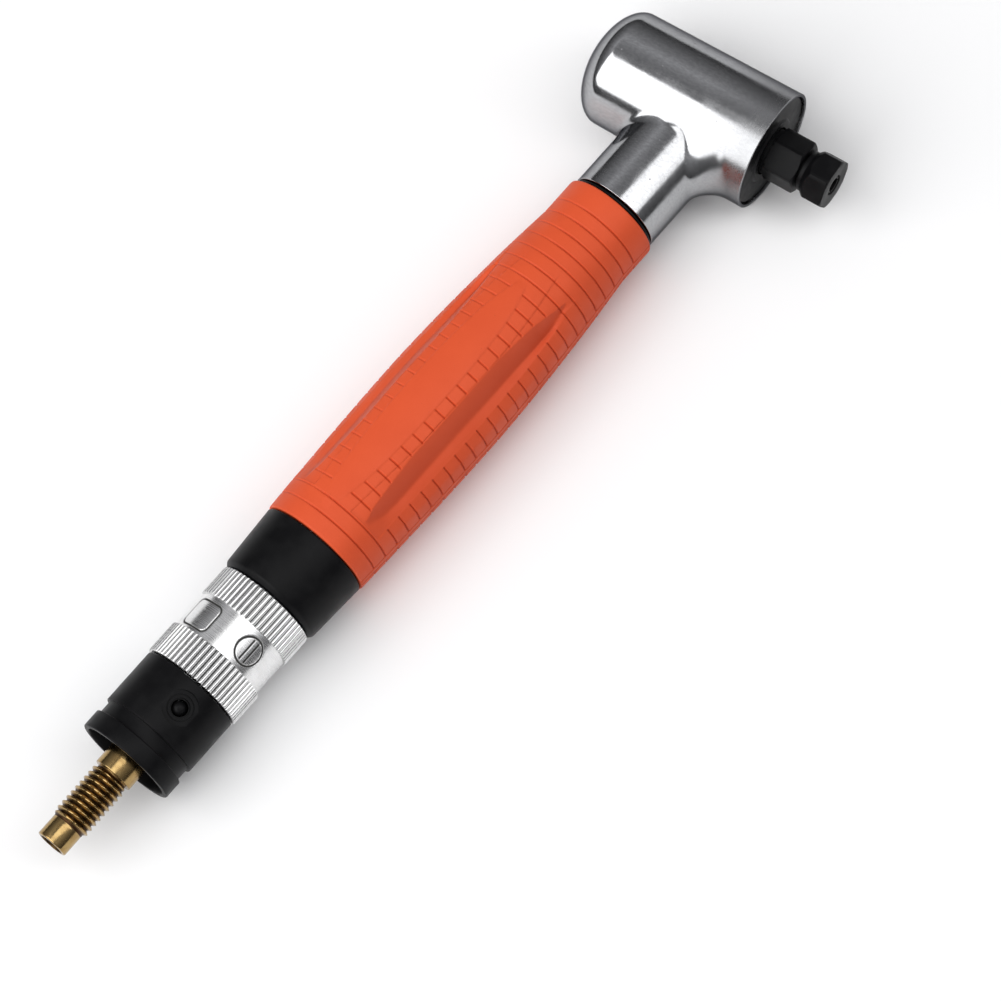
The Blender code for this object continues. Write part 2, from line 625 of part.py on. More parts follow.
def make_spindle():
    """Spindle with a spanner hexagon, a threaded nose and a tapered socket."""
    spindle = turned("spindle", HEAD, [(-20.3, 2.2), (-20.0, 2.45), (-14.7, 2.45), (-14.7, SPINDLE_RADIUS),
                                       (8.0, SPINDLE_RADIUS), (8.0, 4.0), (14.4, 4.0), (14.4, 4.9),
                                       (17.5, 4.9)], segments=24)
    hexagon = hex_prism("spindle_hexagon", HEAD, HEX_START, HEX_END, HEX_AZIMUTH)
    envelope = turned("hexagon_envelope", HEAD, [(HEX_START - 0.5, 5.0), (HEX_START, 5.4),
                                                 (HEX_START + 0.4, 6.2), (HEX_END - 0.5, 6.2),
                                                 (HEX_END + 0.2, 5.0)],
                      segments=30, collection=CUTTERS)
    boolean(hexagon, envelope, 'INTERSECT')
    boolean(spindle, hexagon, 'UNION')
    nose = turned("spindle_nose", HEAD, [(HEX_END - 2, 3.4), (NOSE_END - 0.3, 3.4), (NOSE_END, 3.15)],
                  segments=INNER_SIDES)
    boolean(spindle, nose, 'UNION')
    socket = turned("collet_socket", HEAD, [(12.0, 1.7), (20.0, 1.7), (20.0, 2.2), (NOSE_END, 2.9),
                                            (NOSE_END + 1, 2.98)], segments=16, collection=CUTTERS)
    boolean(spindle, socket)


def make_head_pieces():
    """Spacers, bearings, seal and cap round the spindle."""
    tube("gear_spacer", HEAD, -14.6, -8.5, 3.15, 4.4)
    turned("front_spacer", HEAD, [(-3.5, 3.9), (6.4, 3.9), (6.4, 5.0), (7.9, 5.0)],
           [(-3.5, 3.15), (7.9, 3.15)], INNER_SIDES)
    make_bearing("spindle_rear_bearing", HEAD, -18.9, 4.0, 2.6, 6.5, 6)
    make_bearing("spindle_front_bearing", HEAD, 8.2, 5.8, 4.15, 9.5, 8, 18)
    tube("dust_seal", HEAD, 14.7, 15.6, 5.08, 6.2)
    turned("front_cap", HEAD, [(14.7, 11.95), (15.8, 11.95), (16.0, 11.75), (16.0, 6.9), (16.3, 6.6),
                               (16.5, 6.6)],
           [(14.7, 6.4), (15.8, 6.4), (15.8, 5.2), (16.5, 5.2)])


def make_collet():
    """Spring collet, slit three ways from the front."""
    collet = turned("collet", HEAD, [(20.4, 2.0), (28.9, 2.7), (29.4, 2.7), (30.3, 1.95), (30.6, 1.95)],
                    [(20.4, COLLET_BORE), (30.6, COLLET_BORE)], 18)
    for slit in range(3):
        boolean(collet, box("collet_slit", HEAD, (0.8, -0.22, 22.5), (4, 0.22, 32), 15 + 120 * slit))


def make_collet_nut():
    """Collet nut: a hexagon trimmed by a turned envelope, with a tapered mouth."""
    nut = hex_prism("collet_nut", HEAD, NUT_START, NUT_END, NUT_AZIMUTH)
    CUTTERS.objects.unlink(nut)
    PARTS.objects.link(nut)
    envelope = turned("nut_envelope", HEAD, [(NUT_START - 0.5, 4.3), (25.2, 4.3), (26.9, 5.9),
                                             (30.3, 5.9), (31.2, 5.0)],
                      segments=30, collection=CUTTERS)
    boolean(nut, envelope, 'INTERSECT')
    bore = turned("nut_bore", HEAD, [(NUT_START - 1, 3.65), (29.3, 3.65), (30.3, 2.2), (NUT_END + 1, 2.2)],
                  segments=INNER_SIDES, collection=CUTTERS)
    boolean(nut, bore)


# ---------------------------------------------------------------- finishing

NODE_FINISH = {
    "inlet_spigot": "brass", "exhaust_sleeve": "black_oxide", "sleeve_set_screw": "black_oxide",
    "throttle_ring": "aluminium", "valve_body": "steel", "valve_plunger": "steel",
    "plunger_pin": "steel", "stop_pin": "steel", "valve_spring": "steel", "valve_seat_seal": "seal",
    "ring_seal_rear": "seal", "ring_seal_front": "seal", "rear_collar": "black_oxide",
    "motor_housing": "steel", "grip": "rubber", "rear_gasket": "seal", "disc_spring": "steel",
    "rear_end_plate": "liner_iron", "front_end_plate": "liner_iron", "cylinder_liner": "liner_iron",
    "liner_dowel": "steel", "rotor": "steel", "drive_coupling": "steel", "pinion_shaft": "steel",
    "pinion_bush": "bronze", "pinion_snap_ring": "steel", "neck_ring": "black_oxide",
    "head_housing": "polished", "bevel_gear": "steel", "spindle": "black_oxide",
    "gear_spacer": "steel", "front_spacer": "steel", "dust_seal": "seal", "front_cap": "black_oxide",
    "collet": "black_oxide", "collet_nut": "black_oxide",
}


def finish_of(name):
    """Vanes are fibre, cages bronze and races steel; the rest is named above."""
    if name.startswith("vane_"):
        return "vane_fibre"
    if name.endswith("_cage"):
        return "bronze"
    return NODE_FINISH.get(name, "steel")


def settle(part):
    """Apply a part's modifiers, shade it smooth between sharp edges and colour it."""
    graph = bpy.context.evaluated_depsgraph_get()
    mesh = bpy.data.meshes.new_from_object(part.evaluated_get(graph))
    part.modifiers.clear()
    part.data = mesh
    mesh.name = part.name
    mesh.shade_smooth()
    mesh.set_sharp_from_angle(angle=math.radians(32))
    mesh.materials.clear()
    mesh.materials.append(material(part.name, *FINISHES[finish_of(part.name)]))


def main():
    make_inlet_spigot()
    make_exhaust_sleeve()
    make_set_screw()
    make_valve_body()
    make_throttle_ring()
    make_valve_pieces()
    make_valve_spring()
    make_rear_collar()
    make_motor_housing()
    make_grip()
    make_motor()
    make_drive()
    make_head_housing()
    make_gear()
    make_spindle()
    make_head_pieces()
    make_collet()
    make_collet_nut()
    bpy.context.view_layer.update()
    for part in sorted(PARTS.objects, key=lambda item: item.name):
        settle(part)
    for cutter in list(CUTTERS.objects):
        bpy.data.objects.remove(cutter)


main()
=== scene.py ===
"""Looks for the pneumatic angle grinder: fine surfaces, finishes, floor, light and camera.

Stations are millimetres along an axis: on the handle from the inlet's tip, on the head from the
point where the two axes cross, positive towards the collet. An azimuth is in degrees round the
axis from straight up: towards -Y on the handle, and towards the inlet on the head. Each new piece
is built in its own axis frame, whose Z is the axis and whose X is straight up.
"""
import json
import math

import bmesh
import bpy
import numpy as np
from mathutils import Matrix, Vector


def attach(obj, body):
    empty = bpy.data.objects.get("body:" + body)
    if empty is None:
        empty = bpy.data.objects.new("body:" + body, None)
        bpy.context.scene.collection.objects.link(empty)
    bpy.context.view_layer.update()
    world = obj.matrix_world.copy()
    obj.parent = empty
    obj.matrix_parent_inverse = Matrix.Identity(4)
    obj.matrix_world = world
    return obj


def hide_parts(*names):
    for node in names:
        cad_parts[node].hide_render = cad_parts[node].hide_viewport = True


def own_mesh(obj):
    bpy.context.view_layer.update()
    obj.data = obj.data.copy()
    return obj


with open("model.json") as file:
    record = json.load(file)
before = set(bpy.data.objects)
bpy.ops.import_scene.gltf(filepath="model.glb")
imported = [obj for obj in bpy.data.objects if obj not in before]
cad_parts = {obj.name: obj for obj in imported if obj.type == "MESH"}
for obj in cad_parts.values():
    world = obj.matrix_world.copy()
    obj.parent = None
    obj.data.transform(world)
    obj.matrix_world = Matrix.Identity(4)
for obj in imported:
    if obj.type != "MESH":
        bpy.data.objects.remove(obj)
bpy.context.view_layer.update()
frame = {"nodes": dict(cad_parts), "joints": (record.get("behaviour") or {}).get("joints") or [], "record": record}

MM = 0.001
UP = Vector((0, 0, 1))
JOINTS = {joint["name"]: joint for joint in frame["joints"]}

INLET_SHOULDER = 17.6
THREAD_START = 4.8
THREAD_END = 17.3
THREAD_PITCH = 1.25
THREAD_CREST = 4.0
THREAD_ROOT = 3.3

SCREW_STATION = 34.5
SCREW_AZIMUTH = 24.6

RING_START = 40.4
RING_END = 62.3
WAIST_RADIUS = 10.2
FLUTES = 56

COLLAR_START = 62.6
COLLAR_END = 76.6
GRIP_START = 76.9
GRIP_END = 166.8
GRIP_BELLY = 115.0
GRIP_RADIUS = 12.8
GRIP_WAIST_LOSS = 2.45
GRIP_BORE_STEP = 134.3
RIBS = np.array([161.6 - 3.12 * count - 0.0046 * count ** 2 for count in range(26)])
RIB_DEPTH = 0.34
PANEL_CENTRE = -2.0
PANEL_RISE = 0.16
FACET_FALL = 0.070  # depth of a facet for each degree of its width
PARTING_OFFSET = 4.0  # degrees from each side of the grip to the parting lines above and below
PARTING_DEPTH = 0.30
SCRIBED_DEPTH = 0.14

CROSSING = 195.75
NECK_START = 167.85
NECK_RADIUS = 9.68
NECK_BALL = 4.0  # the neck's round end starts this far before the crossing
FILLET_AT_DOME = 1.3
FILLET_GROWTH = 4.1
HEAD_RIM = 16.4
HEAD_RIM_RADIUS = 12.8
DOME_START = -18.6
DOME_DEPTH = 6.7
DOME_RADIUS = 12.45

HEX_ACROSS_FLATS = 10.0
HEX_START = 16.9
HEX_END = 23.9
HEX_AZIMUTH = 1.5
NUT_START = 24.3
NUT_END = 30.8
NUT_AZIMUTH = 25.5
NOSE_END = 29.0

# Grey of the surroundings by height, from 0 at the horizon to 1 overhead.
SKY = [(0.02, 0.04), (0.15, 0.10), (0.40, 0.19), (0.65, 0.32), (0.80, 0.50), (0.90, 0.34), (0.97, 0.22)]


def axis_frame(joint):
    """The frame of a joint's axis: Z along it and X straight up."""
    direction = Vector(joint["axis"]).normalized()
    turn = Matrix((UP, direction.cross(UP), direction)).transposed().to_4x4()
    return Matrix.Translation(Vector(joint["pos_m"])) @ turn


HANDLE = axis_frame(JOINTS["ring_turn"])
HEAD = axis_frame(JOINTS["spindle_spin"])
NECK_AXIS = np.array((HEAD.to_3x3().transposed() @ Vector(JOINTS["ring_turn"]["axis"]))[:])


# ---------------------------------------------------------------- outlines and surfaces

def smooth(value, low, high):
    """Rises from 0 at low to 1 at high with soft ends."""
    share = np.clip((value - low) / (high - low), 0.0, 1.0)
    return share * share * (3 - 2 * share)


def notch(offset, half_width):
    """1 in the middle of a groove, 0 past its half width, with a rounded bottom."""
    return 1 - smooth(np.abs(offset), 0.0, half_width)


def rounded(points, steps=4):
    """An outline whose corners are curves where a point is (station, radius, size of the round)."""
    outline = []
    count = len(points)
    for index, point in enumerate(points):
        here = np.array(point[:2], float)
        size = point[2] if len(point) > 2 else 0.0
        if not size:
            outline.append(tuple(here))
            continue
        back = np.array(points[index - 1][:2], float) - here
        ahead = np.array(points[(index + 1) % count][:2], float) - here
        start = here + back / np.linalg.norm(back) * size
        end = here + ahead / np.linalg.norm(ahead) * size
        for step in range(steps + 1):
            share = step / steps
            curve = (1 - share) ** 2 * start + 2 * share * (1 - share) * here + share ** 2 * end
            outline.append(tuple(curve))
    return outline


def dense(outline, step, low=-math.inf, high=math.inf):
    """The outline with more rows between two stations, no further apart than the step."""
    rows = []
    for first, second in zip(outline, outline[1:]):
        rows.append(first)
        reach = abs(second[0] - first[0])
        inside = low <= min(first[0], second[0]) and max(first[0], second[0]) <= high
        parts = max(1, math.ceil(reach / step)) if inside else 1
        for part in range(1, parts):
            share = part / parts
            rows.append((first[0] + (second[0] - first[0]) * share,
                         first[1] + (second[1] - first[1]) * share))
    rows.append(outline[-1])
    return rows


def link(name, mesh, place):
    made = bpy.data.objects.new(name, mesh)
    made.matrix_world = place
    bpy.context.scene.collection.objects.link(made)
    return made


def shade(mesh, angle=35):
    mesh.shade_smooth()
    mesh.set_sharp_from_angle(angle=math.radians(angle))


def skin(name, place, outline, columns=128, shape=None, sharp=35):
    """A closed surface round an axis, through an outline of (station, radius) rows.

    The outline runs up the outside and back down the bore, or starts and ends on the axis.
    The shape function gets each point's station, azimuth and radius, and returns its new radius
    and a darkening, from 0 to 1, which the finishes read: painted shade in grooves, roots, the
    bore, facets and the side away from the light, and the real dark fill of engravings.
    """
    rows = len(outline)
    station, radius = (np.repeat(np.array(part, float)[:, None], columns, 1) for part in zip(*outline))
    azimuth = np.repeat(np.arange(columns)[None, :] * 360.0 / columns, rows, 0)
    shade_and_grime = np.zeros_like(radius)
    if shape:
        radius, shade_and_grime = shape(station, azimuth, radius)
    turn = np.radians(azimuth)
    points = np.stack([radius * np.cos(turn), radius * np.sin(turn), station], -1).reshape(-1, 3) * MM
    solid = outline[0][1] == 0
    first = np.arange(rows - 1 if solid else rows)
    column = np.arange(columns)
    low = first[:, None] * columns
    high = (first[:, None] + 1) % rows * columns
    beside = (column + 1) % columns
    faces = np.stack([low + column, low + beside, high + beside, high + column], -1).reshape(-1, 4)
    mesh = bpy.data.meshes.new(name)
    mesh.from_pydata(points.tolist(), [], faces.tolist())
    mesh.attributes.new("shade_and_grime", 'FLOAT', 'POINT').data.foreach_set("value", shade_and_grime.ravel())
    if solid:
        shell = bmesh.new()
        shell.from_mesh(mesh)
        bmesh.ops.remove_doubles(shell, verts=shell.verts, dist=0.0000005)
        shell.to_mesh(mesh)
        shell.free()
    shade(mesh, sharp)
    return link(name, mesh, place)


def apply_modifiers(target):
    graph = bpy.context.evaluated_depsgraph_get()
    mesh = bpy.data.meshes.new_from_object(target.evaluated_get(graph))
    target.modifiers.clear()
    target.data = mesh


def cut(target, tool, operation='DIFFERENCE'):
    """Applies a Boolean with a tool that is then removed, and shades the result."""
    modifier = target.modifiers.new("cut", 'BOOLEAN')
    modifier.operation = operation
    modifier.solver = 'EXACT'
    modifier.object = tool
    apply_modifiers(target)
    shade(target.data)
    bpy.data.objects.remove(tool)


def polar(station, azimuth, radius):
    turn = math.radians(azimuth)
    return Vector((radius * math.cos(turn), radius * math.sin(turn), station))


def radial_frame(place, station, azimuth):
    """A frame whose Z points straight out from an axis at a station and azimuth."""
    frame_there = place @ Matrix.Translation((0, 0, station * MM))
    frame_there = frame_there @ Matrix.Rotation(math.radians(azimuth), 4, 'Z')
    return frame_there @ Matrix.Rotation(math.radians(90), 4, 'Y')


# ---------------------------------------------------------------- finishes

class Finish:
    """A material with short ways to add nodes to it."""

    def __init__(self, name, colour, roughness, metallic, **sockets):
        self.material = bpy.data.materials.new(name)
        self.material.use_nodes = True
        self.tree = self.material.node_tree
        self.shader = self.tree.nodes["Principled BSDF"]
        self.colour = (*colour, 1.0)
        self.shader.inputs["Base Color"].default_value = self.colour
        self.shader.inputs["Roughness"].default_value = roughness
        self.shader.inputs["Metallic"].default_value = metallic
        for socket, value in sockets.items():
            self.shader.inputs[socket.replace("_", " ")].default_value = value
        self.place = self.node('ShaderNodeTexCoord').outputs["Object"]

    def node(self, kind, inputs=None, **settings):
        made = self.tree.nodes.new(kind)
        for key, value in settings.items():
            setattr(made, key, value)
        for key, value in (inputs or {}).items():
            if isinstance(value, bpy.types.NodeSocket):
                self.tree.links.new(value, made.inputs[key])
            else:
                made.inputs[key].default_value = value
        return made

    def noise(self, size, detail=3.0, stretch=(1, 1, 1), roughness=0.5):
        """Noise with features of a size in millimetres, drawn out along an axis by its stretch."""
        scale = tuple(1 / (size * MM * share) for share in stretch)
        place = self.node('ShaderNodeMapping', {"Vector": self.place, "Scale": scale}).outputs[0]
        made = self.node('ShaderNodeTexNoise', {"Vector": place, "Scale": 1.0, "Detail": detail,
                                                "Roughness": roughness})
        return made.outputs["Fac"]

    # The darkening the shapes wrote: painted shade in grooves, roots, facets and shaded sides, and real engraving
    # fill.
    def shade_and_grime(self):
        return self.node('ShaderNodeAttribute', attribute_name="shade_and_grime").outputs["Fac"]

    def spread(self, value, low, high, to_low=0.0, to_high=1.0):
        made = self.node('ShaderNodeMapRange', {"Value": value, "From Min": low, "From Max": high,
                                                "To Min": to_low, "To Max": to_high})
        return made.outputs[0]

    def maths(self, operation, first, second):
        return self.node('ShaderNodeMath', {0: first, 1: second}, operation=operation).outputs[0]

    def mix(self, share, first, second):
        made = self.node('ShaderNodeMix', {0: share, 6: first, 7: second}, data_type='RGBA')
        return made.outputs[2]

    def tint(self, share, colour, base=None):
        """Blends the base colour towards another by a share."""
        return self.mix(share, base or self.colour, (*colour, 1.0))

    def bump(self, height, depth, below=None):
        """A bump whose full height is a depth in millimetres, on top of another bump."""
        inputs = {"Height": height, "Distance": depth * MM, "Strength": 1.0}
        if below:
            inputs["Normal"] = below
        return self.node('ShaderNodeBump', inputs).outputs[0]

    def set(self, **sockets):
        for socket, value in sockets.items():
            self.tree.links.new(value, self.shader.inputs[socket.replace("_", " ")])
        return self.material


def polished_metal():
    """Mirror-polished casting, duller towards the collet, with fine grain, scratches and pits."""
    made = Finish("polished_casting", (0.47, 0.475, 0.485), 0.10, 1.0,
                  Specular_Tint=(0.20, 0.20, 0.21, 1.0))
    station = made.node('ShaderNodeSeparateXYZ', {0: made.place}).outputs["Z"]
    toward_collet = made.spread(station, 1 * MM, 14 * MM)
    scratches = made.noise(0.25, 5, (1, 9, 1), 0.7)
    grain = made.noise(0.5, 5, (1, 1, 2), 0.8)
    pit = made.spread(made.noise(0.9, 2), 0.76, 0.80)
    waves = made.bump(made.noise(4.0, 2), 0.008)
    bumps = made.bump(grain, 0.003, made.bump(scratches, 0.0012, waves))
    bumps = made.bump(made.maths('SUBTRACT', 1.0, pit), 0.02, bumps)
    haze = made.spread(made.noise(5.0, 4), 0.35, 0.7, 0.09, 0.16)
    rough = made.maths('ADD', haze, made.spread(scratches, 0.4, 0.7, 0.0, 0.06))
    rough = made.maths('ADD', rough, made.maths('MULTIPLY', toward_collet, 0.12))
    rough = made.maths('ADD', rough, made.maths('MULTIPLY', pit, 0.3))
    # The base colour darkens towards the collet.
    colour = made.tint(toward_collet, (0.34, 0.343, 0.35))
    colour = made.tint(made.spread(grain, 0.40, 0.62, 0.0, 0.45), (0.27, 0.27, 0.28), colour)
    colour = made.tint(pit, (0.20, 0.20, 0.21), colour)
    return made.set(Base_Color=colour, Roughness=rough, Normal=bumps)


def black_oxide():
    """Blackened steel: satin, with turning lines and a little wear."""
    made = Finish("black_oxide", (0.0035, 0.0035, 0.004), 0.42, 0.0, Specular_IOR_Level=0.10)
    lines = made.noise(0.16, 2, (60, 60, 1))
    cloud = made.noise(3.0, 4)
    wear = made.spread(made.noise(0.6, 5, (1, 1, 1), 0.7), 0.66, 0.78)
    colour = made.tint(made.spread(cloud, 0.4, 0.7, 0.0, 0.5), (0.008, 0.008, 0.0085))
    colour = made.tint(made.maths('MULTIPLY', wear, 0.35), (0.05, 0.049, 0.047), colour)
    bumps = made.bump(made.noise(0.2, 3), 0.004, made.bump(lines, 0.004))
    rough = made.spread(cloud, 0.3, 0.7, 0.34, 0.48)
    return made.set(Base_Color=colour, Roughness=rough, Normal=bumps)


def satin_aluminium():
    """Fine turned aluminium, with painted shade in the knurl roots and dark filled engraving."""
    made = Finish("satin_aluminium", (0.80, 0.80, 0.80), 0.25, 1.0)
    lines = made.noise(0.09, 2, (80, 80, 1))
    cloud = made.noise(2.0, 4)
    root_shade_and_fill = made.spread(made.shade_and_grime(), 0.15, 0.95)
    colour = made.tint(made.spread(cloud, 0.4, 0.75, 0.0, 0.4), (0.62, 0.62, 0.61))
    # Painted shade: the flute roots go near black; the engraving's dark fill is real.
    colour = made.tint(root_shade_and_fill, (0.035, 0.034, 0.032), colour)
    rough = made.maths('ADD', made.spread(lines, 0.3, 0.7, 0.17, 0.32), made.maths('MULTIPLY', root_shade_and_fill, 0.4))
    metal = made.maths('SUBTRACT', 1.0, made.maths('MULTIPLY', root_shade_and_fill, 0.7))
    bumps = made.bump(made.noise(0.3, 3), 0.003, made.bump(lines, 0.002))
    return made.set(Base_Color=colour, Roughness=rough, Metallic=metal, Normal=bumps)


def brass():
    """Turned brass, painted dark brown as shade where the thread is deep and inside the bore."""
    made = Finish("turned_brass", (0.40, 0.275, 0.115), 0.20, 1.0)
    cloud = made.noise(1.2, 5)
    lines = made.noise(0.12, 2, (50, 50, 1))
    colour = made.tint(made.spread(cloud, 0.4, 0.7, 0.0, 0.6), (0.26, 0.155, 0.058))
    # Painted shade: dark brown in the thread roots and the bore.
    colour = made.tint(made.shade_and_grime(), (0.055, 0.028, 0.014), colour)
    haze = made.spread(cloud, 0.3, 0.7, 0.12, 0.24)
    rough = made.maths('ADD', haze, made.maths('MULTIPLY', made.shade_and_grime(), 0.25))
    bumps = made.bump(made.noise(0.25, 3), 0.004, made.bump(lines, 0.003))
    return made.set(Base_Color=colour, Roughness=rough, Normal=bumps)


def orange_rubber():
    """Moulded rubber: matt and finely grained, with painted shade in its grooves, on its facets and on its -Y
    side.
    """
    made = Finish("orange_rubber", (0.68, 0.086, 0.026), 0.55, 0.0, Specular_IOR_Level=0.20)
    cloud = made.noise(7.0, 4)
    grain = made.noise(0.16, 4, (1, 1, 1), 0.65)
    specks = made.spread(made.noise(0.55, 2), 0.74, 0.78)
    colour = made.tint(made.spread(cloud, 0.35, 0.7, 0.0, 0.4), (0.61, 0.071, 0.021))
    colour = made.tint(made.spread(grain, 0.35, 0.7, 0.0, 0.25), (0.74, 0.115, 0.040), colour)
    # Painted shade: grooves, parting lines, facets and the -Y side darken.
    colour = made.tint(made.maths('MULTIPLY', made.shade_and_grime(), 0.6), (0.36, 0.036, 0.012), colour)
    colour = made.tint(made.maths('MULTIPLY', specks, 0.4), (0.35, 0.05, 0.02), colour)
    rough = made.spread(cloud, 0.3, 0.7, 0.48, 0.62)
    bumps = made.bump(grain, 0.016, made.bump(made.noise(1.6, 3), 0.02))
    return made.set(Base_Color=colour, Roughness=rough, Normal=bumps)


def ground_metal(name, colour, roughness, metallic=1.0):
    """Machined metal for the pieces inside: turning lines and a cloudy roughness."""
    made = Finish(name, colour, roughness, metallic)
    darker = tuple(0.7 * part for part in colour)
    cloud = made.noise(1.5, 4)
    tinted = made.tint(made.spread(cloud, 0.35, 0.7, 0.0, 0.6), darker)
    rough = made.spread(cloud, 0.3, 0.7, roughness * 0.8, roughness * 1.25)
    bumps = made.bump(made.noise(0.2, 3, (8, 8, 1)), 0.004)
    return made.set(Base_Color=tinted, Roughness=rough, Normal=bumps)


def fibre():
    """Laminated phenolic cloth of the vanes."""
    made = Finish("vane_fibre", (0.20, 0.085, 0.03), 0.7, 0.0)
    weave = made.noise(0.3, 3, (6, 1, 1))
    bumps = made.bump(weave, 0.01)
    return made.set(Base_Color=made.tint(made.spread(weave, 0.4, 0.6), (0.12, 0.05, 0.02)), Normal=bumps)


MATERIALS = {
    "polished_head": polished_metal(),
    "black_oxide": black_oxide(),
    "satin_aluminium": satin_aluminium(),
    "brass": brass(),
    "orange_rubber": orange_rubber(),
    "seal_rubber": ground_metal("seal_rubber", (0.02, 0.02, 0.02), 0.6, 0.0),
    "steel": ground_metal("ground_steel", (0.56, 0.57, 0.58), 0.25),
    "motor_iron": ground_metal("motor_iron", (0.30, 0.30, 0.31), 0.42),
    "vane_fibre": fibre(),
    "bronze": ground_metal("bearing_bronze", (0.48, 0.30, 0.14), 0.33),
}


def finish_cad_nodes():
    """Gives every CAD node the material of its slot."""
    for part in frame["record"]["subparts"]:
        mesh = frame["nodes"][part["node"]].data
        mesh.materials.clear()
        mesh.materials.append(MATERIALS[part["material_slot"]])


def fit_out(piece, node, body, slot):
    """Finishes a piece, rides it on its body and hides the node it stands for."""
    piece.data.materials.clear()
    piece.data.materials.append(MATERIALS[slot])
    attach(piece, body)
    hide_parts(node)


# ---------------------------------------------------------------- inlet and exhaust

def thread_shape(station, azimuth, radius):
    """A real helix between the nose and the collar, with rounded crests and roots painted dark as shade."""
    phase = ((station - THREAD_START) / THREAD_PITCH - azimuth / 360) % 1.0
    wave = np.clip(1.15 - 2.3 * np.abs(phase - 0.5), 0.0, 1.0)
    threaded = THREAD_ROOT + (THREAD_CREST - THREAD_ROOT) * wave
    run_in = smooth(station, THREAD_START - 0.1, THREAD_START + 0.9)
    ends = run_in * (1 - smooth(station, THREAD_END - 0.8, THREAD_END))
    on_thread = (radius > 3.2) & (radius < 3.6)
    on_thread &= (station > THREAD_START - 0.2) & (station < THREAD_END + 0.2)
    grown = THREAD_ROOT + (threaded - THREAD_ROOT) * ends
    # Painted shade: darkening towards the thread roots and inside the bore.
    shade_and_grime = np.where(on_thread, 1 - smooth(grown, THREAD_ROOT + 0.05, THREAD_CREST - 0.12), 0.0)
    in_bore = radius < 2.65
    shade_and_grime = np.where(in_bore, 0.8, shade_and_grime)
    return np.where(on_thread, grown, radius), shade_and_grime


def make_inlet():
    outline = rounded([(0, 2.45, 0.12), (0, 3.33, 0.35), (4.2, 3.33, 0.12), (4.55, 3.3), (17.25, 3.3),
                       (INLET_SHOULDER, 3.3), (INLET_SHOULDER, 4.2, 0.22), (30.0, 4.2, 0.2), (30.0, 3.4),
                       (44.0, 3.4), (44.0, 2.1), (3.2, 2.1), (2.6, 2.45)])
    rows = dense(outline, 0.1, 4.5, 17.3)
    inlet = skin("inlet_spigot_skin", HANDLE, rows, 96, thread_shape)
    fit_out(inlet, "inlet_spigot", "casing", "brass")


def make_sleeve():
    """Black sleeve: rounded lip, groove, ported web and a ringed screw hole."""
    outline = rounded([(21.2, 9.35, 0.15), (21.2, 10.5, 0.35), (25.06, 10.5, 0.2),
                       (25.06, 9.85, 0.15), (27.95, 9.85, 0.15), (27.95, 10.5, 0.2),
                       (40.1, 10.5, 0.35), (40.1, 9.3), (38.6, 9.3), (38.6, 5.3), (32.5, 5.3),
                       (32.5, 9.2, 0.3), (21.8, 9.2)])
    sleeve = skin("exhaust_sleeve_skin", HANDLE, outline, 144)
    for port in range(6):
        to_side = polar(0, SCREW_AZIMUTH + 30 + 60 * port, 7.25) * MM
        hole = [(31, 0), (31, 1.1), (40, 1.1), (40, 0)]
        cut(sleeve, skin("port", HANDLE @ Matrix.Translation(to_side), hole, 24))
    seat = radial_frame(HANDLE, SCREW_STATION, SCREW_AZIMUTH)
    bore = [(4.0, 0), (4.0, 1.7), (9.5, 1.7), (9.5, 2.0), (10.0, 2.0), (10.0, 2.45),
            (9.75, 2.45), (9.75, 2.75), (10.0, 2.75), (10.0, 3.6), (12, 3.6), (12, 0)]
    cut(sleeve, skin("screw_bore", seat, bore, 64))
    fit_out(sleeve, "exhaust_sleeve", "casing", "black_oxide")
    domed = rounded([(5.3, 0), (5.3, 1.45), (9.3, 1.45, 0.5), (9.95, 0.7, 0.4), (10.0, 0)])
    screw = skin("sleeve_screw_skin", seat, domed, 48)
    fit_out(screw, "sleeve_set_screw", "casing", "black_oxide")


# ---------------------------------------------------------------- throttle ring

def box_outline(across, along, half_across, half_along, corner):
    """Distance from the outline of a rounded rectangle."""
    side = np.maximum(np.abs(across) - half_across + corner, 0)
    end = np.maximum(np.abs(along) - half_along + corner, 0)
    inner = np.minimum(np.maximum(np.abs(across) - half_across, np.abs(along) - half_along) + corner, 0)
    return np.abs(np.hypot(side, end) + inner - corner)


def engraving(station, azimuth):
    """Share of the full engraving depth: a circle round two bars, and a rounded window."""
    def arc(centre):
        return np.radians((azimuth - centre + 180) % 360 - 180) * WAIST_RADIUS
    across, along = arc(40.0), station - 51.5
    disc = np.abs(np.hypot(across, along) - 2.9)
    bars = np.maximum(np.abs(np.abs(across) - 0.62), np.abs(along) - 2.2)
    disc_mark = np.minimum(disc, np.maximum(bars, 0))
    window = box_outline(arc(-33.0), station - 51.4, 3.7, 3.05, 1.3)
    nearest = np.minimum(disc_mark, window)
    return 1 - smooth(nearest, 0.16, 0.28)


def ring_shape(station, azimuth, radius):
    """Bands of rounded flutes with V roots painted dark as shade, either side of an engraved waist."""
    from_crest = 2 * np.abs((azimuth * FLUTES / 360) % 1.0 - 0.5)
    outside = radius > 9.6
    rear = outside & (station < 47.6)
    front = outside & (station > 55.6)
    waist = outside & ~rear & ~front
    root = from_crest ** 2.4
    rear_radius = np.minimum(radius, 10.9 - 0.70 * root)
    front_radius = np.minimum(radius, 10.65 - 0.48 * root)
    mark = np.where(waist, engraving(station, azimuth), 0.0)
    shaped = np.where(rear, rear_radius, np.where(front, front_radius, radius - 0.16 * mark))
    # The flute roots get painted shade, the engraved marks their real dark fill.
    shade_and_grime = np.where(rear | front, smooth(from_crest, 0.66, 0.92), mark)
    return shaped, shade_and_grime


